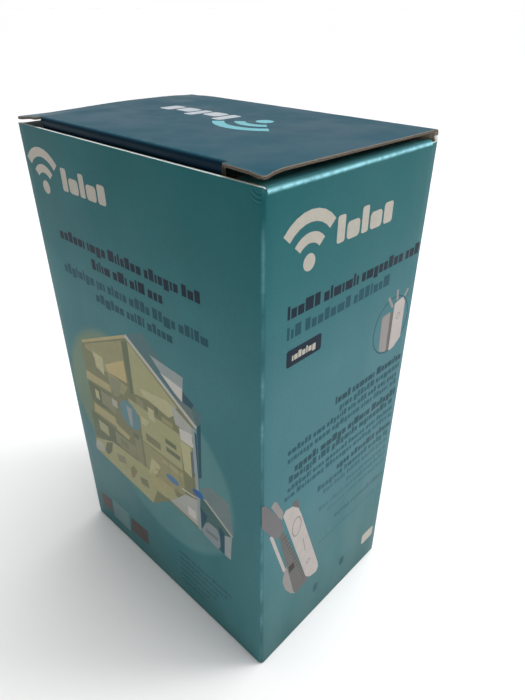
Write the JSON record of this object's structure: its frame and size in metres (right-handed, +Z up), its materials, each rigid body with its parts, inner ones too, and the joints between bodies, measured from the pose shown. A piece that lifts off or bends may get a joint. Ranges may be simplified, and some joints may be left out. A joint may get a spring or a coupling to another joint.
{
  "type": "boxed wifi range extender",
  "caption": "Closed tuck-end retail carton with hinged lid and dust flaps, holding a board insert and a plug-in wifi range extender with folding antennas and push buttons.",
  "frame": {"origin": "middle of the carton base, on the surface it stands on", "axes": "+X to the right of the front panel, +Y from front panel to rear panel, +Z up"},
  "size_m": [0.128, 0.0866, 0.2121],
  "materials": {
    "front_print": "printed, aqueous varnish",
    "side_print": "printed, aqueous varnish",
    "back_print": "printed, aqueous varnish",
    "base_print": "printed, aqueous varnish",
    "lid_print": "printed, aqueous varnish",
    "tongue_print": "printed, aqueous varnish",
    "flap_print": "printed, aqueous varnish",
    "board_inside": "uncoated",
    "insert_board": "uncoated kraft",
    "guide_paper": "matt coated",
    "shell_white": "satin moulded",
    "band_grey": "fine moulded texture",
    "antenna_plastic": "fine moulded texture",
    "ring_plastic": "frosted",
    "lens_plastic": "frosted",
    "circuit_board": "solder mask",
    "power_circuit_board": "bare laminate",
    "shield_steel": "tinned",
    "spreader_aluminium": "mill",
    "transformer_tape": "tape",
    "coil_copper": "enamelled winding",
    "capacitor_sleeve": "heat-shrink sleeve",
    "insulator_sheet": "film",
    "jack_black": "moulded",
    "contact_gold": "plated",
    "holder_black": "moulded",
    "blade_nickel": "nickel plated",
    "switch_black": "moulded",
    "screw_steel": "zinc plated",
    "pin_steel": "ground",
    "element_board": "laminate",
    "button_white": "satin moulded",
    "button_grey": "moulded"
  },
  "bodies": {
    "carton": {"front_panel": "front_print", "back_panel": "back_print", "left_panel": "side_print", "right_panel": "side_print", "glue_flap": "board_inside", "bottom_outer_flap": "base_print", "bottom_inner_flap": "board_inside", "bottom_dust_flap_left": "board_inside", "bottom_dust_flap_right": "board_inside", "insert_front": "insert_board", "insert_side_left": "insert_board", "insert_side_right": "insert_board", "insert_return_left": "insert_board", "insert_return_right": "insert_board", "insert_floor": "insert_board", "quick_guide": "guide_paper"},
    "lid": {"lid_panel": "lid_print"},
    "tongue": {"tuck_tongue": "tongue_print"},
    "dust_flap_left": {"dust_flap_left": "flap_print"},
    "dust_flap_right": {"dust_flap_right": "flap_print"},
    "extender": {"front_shell": "shell_white", "middle_band": "band_grey", "rear_shell": "shell_white", "light_ring": "ring_plastic", "status_light_lenses": "lens_plastic", "light_guide": "lens_plastic", "main_board": "circuit_board", "radio_shields": "shield_steel", "heat_spreader": "spreader_aluminium", "power_board": "power_circuit_board", "transformer": "transformer_tape", "filter_coil": "coil_copper", "capacitors": "capacitor_sleeve", "insulating_sheet": "insulator_sheet", "ethernet_jack": "jack_black", "jack_contacts": "contact_gold", "blade_holder": "holder_black", "plug_blades": "blade_nickel", "tact_switches": "switch_black", "case_screws": "screw_steel", "antenna_hinge_pins": "pin_steel"},
    "antenna_left": {"antenna_left_shell": "antenna_plastic", "antenna_left_element": "element_board"},
    "antenna_right": {"antenna_right_shell": "antenna_plastic", "antenna_right_element": "element_board"},
    "antenna_rear": {"antenna_rear_shell": "antenna_plastic", "antenna_rear_element": "element_board"},
    "signal_button": {"signal_button": "button_white"},
    "power_button": {"power_button": "button_grey"},
    "reset_button": {"reset_button": "button_grey"}
  },
  "joints": [
    {"name": "lid_hinge", "type": "hinge", "parent": "carton", "child": "lid", "pos_m": [0, 0.0433, 0.2111], "axis": [-1, 0, 0], "range_deg": [0, 240]},
    {"name": "tongue_crease", "type": "hinge", "parent": "lid", "child": "tongue", "pos_m": [0, -0.0418, 0.2119], "axis": [-1, 0, 0], "range_deg": [0, 30]},
    {"name": "dust_flap_left_crease", "type": "hinge", "parent": "carton", "child": "dust_flap_left", "pos_m": [-0.064, 0, 0.2083], "axis": [0, -1, 0], "range_deg": [0, 264]},
    {"name": "dust_flap_right_crease", "type": "hinge", "parent": "carton", "child": "dust_flap_right", "pos_m": [0.064, 0, 0.2083], "axis": [0, 1, 0], "range_deg": [0, 264]},
    {"name": "extender_lift", "type": "slide", "parent": "carton", "child": "extender", "axis": [0, 0, 1], "range_m": [0, 0.2]},
    {"name": "antenna_left_pivot", "type": "hinge", "parent": "extender", "child": "antenna_left", "pos_m": [-0.03495, -0.011, 0.11435], "axis": [0, -1, 0], "range_deg": [0, 60]},
    {"name": "antenna_right_pivot", "type": "hinge", "parent": "extender", "child": "antenna_right", "pos_m": [0.03495, -0.011, 0.11435], "axis": [0, 1, 0], "range_deg": [0, 60]},
    {"name": "antenna_rear_pivot", "type": "hinge", "parent": "extender", "child": "antenna_rear", "pos_m": [0, 0.00375, 0.11435], "axis": [-1, 0, 0], "range_deg": [0, 60]},
    {"name": "signal_button_press", "type": "slide", "parent": "extender", "child": "signal_button", "axis": [0, 1, 0], "range_m": [0, 0.0008], "stiffness_N_per_m": 500, "springref_m": -0.0004},
    {"name": "power_button_press", "type": "slide", "parent": "extender", "child": "power_button", "axis": [-1, 0, 0], "range_m": [0, 0.0008], "stiffness_N_per_m": 400, "springref_m": -0.0004},
    {"name": "reset_button_press", "type": "slide", "parent": "extender", "child": "reset_button", "axis": [-1, 0, 0], "range_m": [0, 0.0008], "stiffness_N_per_m": 400, "springref_m": -0.0004}
  ],
  "couplings": [
    {"joint": "lid_hinge", "follows": "extender_lift", "rad_per_m": 20.944},
    {"joint": "tongue_crease", "follows": "extender_lift", "rad_per_m": 2.6179},
    {"joint": "dust_flap_left_crease", "follows": "extender_lift", "rad_per_m": 23.038},
    {"joint": "dust_flap_right_crease", "follows": "extender_lift", "rad_per_m": 23.038},
    {"joint": "antenna_left_pivot", "follows": "extender_lift", "rad_per_m": 5.2359},
    {"joint": "antenna_right_pivot", "follows": "extender_lift", "rad_per_m": 5.2359},
    {"joint": "antenna_rear_pivot", "follows": "extender_lift", "rad_per_m": 5.2359}
  ]
}
